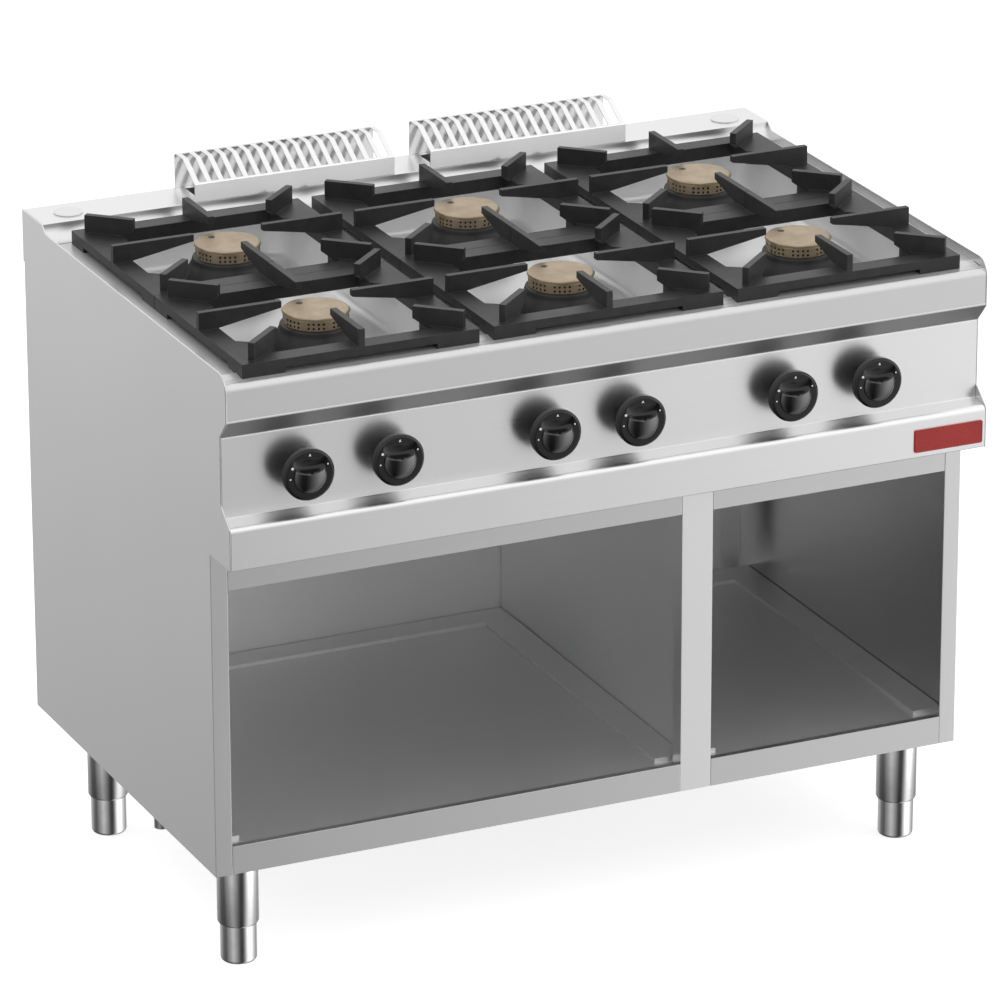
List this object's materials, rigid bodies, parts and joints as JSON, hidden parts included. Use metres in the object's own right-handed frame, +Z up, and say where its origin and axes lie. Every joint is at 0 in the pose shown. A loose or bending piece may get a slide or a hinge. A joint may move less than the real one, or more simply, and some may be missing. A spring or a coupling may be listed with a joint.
{
  "type": "commercial gas range",
  "caption": "Free-standing steel gas range: cast iron pan supports over brass-capped burners, a row of front knobs, rear flue grilles, open cupboard and adjustable feet.",
  "frame": {"origin": "on the floor under the centre of the range's bounding box", "axes": "+X to the right along the front, +Y from the front to the back, +Z up"},
  "size_m": [1.1, 0.744, 0.9305],
  "materials": {
    "satin_steel": "satin brushed stainless sheet",
    "worktop_steel": "fine brushed, rolled edges polished",
    "inner_steel": "dull mill finish",
    "grille_steel": "satin",
    "polished_steel": "polished tube",
    "grate_iron": "matt enamelled casting",
    "burner_iron": "matt casting",
    "cap_brass": "dull machined brass",
    "valve_brass": "machined brass",
    "knob_plastic": "glossy black",
    "badge_enamel": "plain red enamel, blank",
    "pipe_steel": "dark pipe finish",
    "tube_copper": "bright copper tube"
  },
  "bodies": {
    "range_body": {"side_panel_left": "satin_steel", "side_panel_right": "satin_steel", "worktop": "worktop_steel", "control_panel": "satin_steel", "badge_plate": "badge_enamel", "rear_upstand": "worktop_steel", "flue_grille_left": "grille_steel", "flue_grille_right": "grille_steel", "upstand_plugs": "satin_steel", "back_panel": "inner_steel", "cabinet_back": "inner_steel", "cabinet_rails": "satin_steel", "centre_post": "satin_steel", "cabinet_floors": "inner_steel", "cabinet_ledges": "inner_steel", "cabinet_partition": "inner_steel", "cabinet_ceiling": "inner_steel", "base_runners": "inner_steel", "leg_sleeves": "polished_steel", "valve_bodies": "valve_brass", "valve_springs": "polished_steel", "gas_manifold": "pipe_steel", "supply_tubes": "tube_copper", "burner_bodies": "burner_iron", "mixing_tubes": "pipe_steel", "pilot_burners": "burner_iron"},
    "foot_1": {"foot_1": "polished_steel"},
    "foot_2": {"foot_2": "polished_steel"},
    "foot_3": {"foot_3": "polished_steel"},
    "foot_4": {"foot_4": "polished_steel"},
    "grate_1": {"grate_1": "grate_iron"},
    "grate_2": {"grate_2": "grate_iron"},
    "grate_3": {"grate_3": "grate_iron"},
    "grate_4": {"grate_4": "grate_iron"},
    "grate_5": {"grate_5": "grate_iron"},
    "grate_6": {"grate_6": "grate_iron"},
    "burner_cap_1": {"burner_cap_1": "cap_brass"},
    "burner_cap_2": {"burner_cap_2": "cap_brass"},
    "burner_cap_3": {"burner_cap_3": "cap_brass"},
    "burner_cap_4": {"burner_cap_4": "cap_brass"},
    "burner_cap_5": {"burner_cap_5": "cap_brass"},
    "burner_cap_6": {"burner_cap_6": "cap_brass"},
    "valve_plug_1": {"valve_plug_1": "valve_brass"},
    "knob_1": {"knob_1": "knob_plastic", "valve_spindle_1": "polished_steel"},
    "valve_plug_2": {"valve_plug_2": "valve_brass"},
    "knob_2": {"knob_2": "knob_plastic", "valve_spindle_2": "polished_steel"},
    "valve_plug_3": {"valve_plug_3": "valve_brass"},
    "knob_3": {"knob_3": "knob_plastic", "valve_spindle_3": "polished_steel"},
    "valve_plug_4": {"valve_plug_4": "valve_brass"},
    "knob_4": {"knob_4": "knob_plastic", "valve_spindle_4": "polished_steel"},
    "valve_plug_5": {"valve_plug_5": "valve_brass"},
    "knob_5": {"knob_5": "knob_plastic", "valve_spindle_5": "polished_steel"},
    "valve_plug_6": {"valve_plug_6": "valve_brass"},
    "knob_6": {"knob_6": "knob_plastic", "valve_spindle_6": "polished_steel"}
  },
  "joints": [
    {"name": "foot_1_height", "type": "slide", "parent": "range_body", "child": "foot_1", "axis": [0, 0, -1], "range_m": [0, 0.05]},
    {"name": "foot_2_height", "type": "slide", "parent": "range_body", "child": "foot_2", "axis": [0, 0, -1], "range_m": [0, 0.05]},
    {"name": "foot_3_height", "type": "slide", "parent": "range_body", "child": "foot_3", "axis": [0, 0, -1], "range_m": [0, 0.05]},
    {"name": "foot_4_height", "type": "slide", "parent": "range_body", "child": "foot_4", "axis": [0, 0, -1], "range_m": [0, 0.05]},
    {"name": "grate_1_lift", "type": "slide", "parent": "range_body", "child": "grate_1", "axis": [0, 0, 1], "range_m": [0, 0.1]},
    {"name": "grate_2_lift", "type": "slide", "parent": "range_body", "child": "grate_2", "axis": [0, 0, 1], "range_m": [0, 0.1]},
    {"name": "grate_3_lift", "type": "slide", "parent": "range_body", "child": "grate_3", "axis": [0, 0, 1], "range_m": [0, 0.1]},
    {"name": "grate_4_lift", "type": "slide", "parent": "range_body", "child": "grate_4", "axis": [0, 0, 1], "range_m": [0, 0.1]},
    {"name": "grate_5_lift", "type": "slide", "parent": "range_body", "child": "grate_5", "axis": [0, 0, 1], "range_m": [0, 0.1]},
    {"name": "grate_6_lift", "type": "slide", "parent": "range_body", "child": "grate_6", "axis": [0, 0, 1], "range_m": [0, 0.1]},
    {"name": "burner_cap_1_lift", "type": "slide", "parent": "range_body", "child": "burner_cap_1", "axis": [0, 0, 1], "range_m": [0, 0.06]},
    {"name": "burner_cap_2_lift", "type": "slide", "parent": "range_body", "child": "burner_cap_2", "axis": [0, 0, 1], "range_m": [0, 0.06]},
    {"name": "burner_cap_3_lift", "type": "slide", "parent": "range_body", "child": "burner_cap_3", "axis": [0, 0, 1], "range_m": [0, 0.06]},
    {"name": "burner_cap_4_lift", "type": "slide", "parent": "range_body", "child": "burner_cap_4", "axis": [0, 0, 1], "range_m": [0, 0.06]},
    {"name": "burner_cap_5_lift", "type": "slide", "parent": "range_body", "child": "burner_cap_5", "axis": [0, 0, 1], "range_m": [0, 0.06]},
    {"name": "burner_cap_6_lift", "type": "slide", "parent": "range_body", "child": "burner_cap_6", "axis": [0, 0, 1], "range_m": [0, 0.06]},
    {"name": "knob_1_turn", "type": "hinge", "parent": "range_body", "child": "valve_plug_1", "pos_m": [-0.44, -0.29, 0.725], "axis": [0, -1, 0], "range_deg": [0, 210]},
    {"name": "knob_1_push", "type": "slide", "parent": "valve_plug_1", "child": "knob_1", "axis": [0, 1, 0], "range_m": [0, 0.004], "stiffness_N_per_m": 1500, "deforming": ["valve_springs"]},
    {"name": "knob_2_turn", "type": "hinge", "parent": "range_body", "child": "valve_plug_2", "pos_m": [-0.314, -0.29, 0.725], "axis": [0, -1, 0], "range_deg": [0, 210]},
    {"name": "knob_2_push", "type": "slide", "parent": "valve_plug_2", "child": "knob_2", "axis": [0, 1, 0], "range_m": [0, 0.004], "stiffness_N_per_m": 1500, "deforming": ["valve_springs"]},
    {"name": "knob_3_turn", "type": "hinge", "parent": "range_body", "child": "valve_plug_3", "pos_m": [-0.09, -0.29, 0.725], "axis": [0, -1, 0], "range_deg": [0, 210]},
    {"name": "knob_3_push", "type": "slide", "parent": "valve_plug_3", "child": "knob_3", "axis": [0, 1, 0], "range_m": [0, 0.004], "stiffness_N_per_m": 1500, "deforming": ["valve_springs"]},
    {"name": "knob_4_turn", "type": "hinge", "parent": "range_body", "child": "valve_plug_4", "pos_m": [0.033, -0.29, 0.725], "axis": [0, -1, 0], "range_deg": [0, 210]},
    {"name": "knob_4_push", "type": "slide", "parent": "valve_plug_4", "child": "knob_4", "axis": [0, 1, 0], "range_m": [0, 0.004], "stiffness_N_per_m": 1500, "deforming": ["valve_springs"]},
    {"name": "knob_5_turn", "type": "hinge", "parent": "range_body", "child": "valve_plug_5", "pos_m": [0.257, -0.29, 0.725], "axis": [0, -1, 0], "range_deg": [0, 210]},
    {"name": "knob_5_push", "type": "slide", "parent": "valve_plug_5", "child": "knob_5", "axis": [0, 1, 0], "range_m": [0, 0.004], "stiffness_N_per_m": 1500, "deforming": ["valve_springs"]},
    {"name": "knob_6_turn", "type": "hinge", "parent": "range_body", "child": "valve_plug_6", "pos_m": [0.382, -0.29, 0.725], "axis": [0, -1, 0], "range_deg": [0, 210]},
    {"name": "knob_6_push", "type": "slide", "parent": "valve_plug_6", "child": "knob_6", "axis": [0, 1, 0], "range_m": [0, 0.004], "stiffness_N_per_m": 1500, "deforming": ["valve_springs"]}
  ]
}
